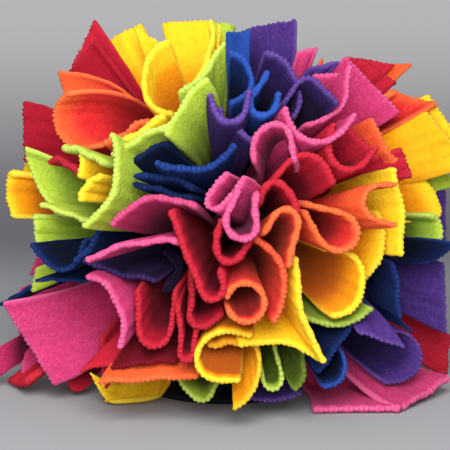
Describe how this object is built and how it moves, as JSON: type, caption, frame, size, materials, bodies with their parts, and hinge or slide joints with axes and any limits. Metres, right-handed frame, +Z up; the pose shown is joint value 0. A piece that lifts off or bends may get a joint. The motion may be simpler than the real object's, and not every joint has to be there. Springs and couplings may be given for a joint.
{
  "type": "snuffle mat",
  "caption": "Snuffle mat of rainbow fleece tabs with pinked ends, knotted to a ground cloth and bunched up into a round mound.",
  "frame": {"origin": "middle of the mound's outer box, on the surface that it stands on", "axes": "+Z up from the surface, +X to the right of someone facing the mound's front, -Y towards them, where the middle of the rosette of tabs is"},
  "size_m": [0.2882, 0.2535, 0.2329],
  "materials": {
    "red": "matt brushed fleece",
    "orange": "matt brushed fleece",
    "yellow": "matt brushed fleece",
    "lime": "matt brushed fleece",
    "blue": "matt brushed fleece",
    "violet": "matt brushed fleece",
    "pink": "matt brushed fleece",
    "ground": "matt brushed fleece"
  },
  "bodies": {
    "root": {"blue_1": "blue", "blue_2": "blue", "blue_3": "blue", "blue_4": "blue", "blue_5": "blue", "blue_6": "blue", "ground": "ground", "lime_1": "lime", "lime_2": "lime", "lime_3": "lime", "lime_4": "lime", "lime_5": "lime", "lime_6": "lime", "lime_7": "lime", "lime_8": "lime", "lime_9": "lime", "orange_1": "orange", "orange_2": "orange", "orange_3": "orange", "orange_4": "orange", "orange_5": "orange", "orange_6": "orange", "orange_7": "orange", "pink_1": "pink", "pink_2": "pink", "pink_3": "pink", "pink_4": "pink", "pink_6": "pink", "pink_7": "pink", "pink_8": "pink", "pink_9": "pink", "red_1": "red", "red_10": "red", "red_11": "red", "red_2": "red", "red_3": "red", "red_4": "red", "red_5": "red", "red_6": "red", "red_7": "red", "red_8": "red", "red_9": "red", "violet_1": "violet", "violet_2": "violet", "violet_4": "violet", "violet_5": "violet", "violet_6": "violet", "violet_7": "violet", "violet_8": "violet", "yellow_1": "yellow", "yellow_11": "yellow", "yellow_12": "yellow", "yellow_2": "yellow", "yellow_3": "yellow", "yellow_4": "yellow", "yellow_5": "yellow", "yellow_6": "yellow", "yellow_7": "yellow", "yellow_8": "yellow", "yellow_9": "yellow"}
  },
  "joints": []
}
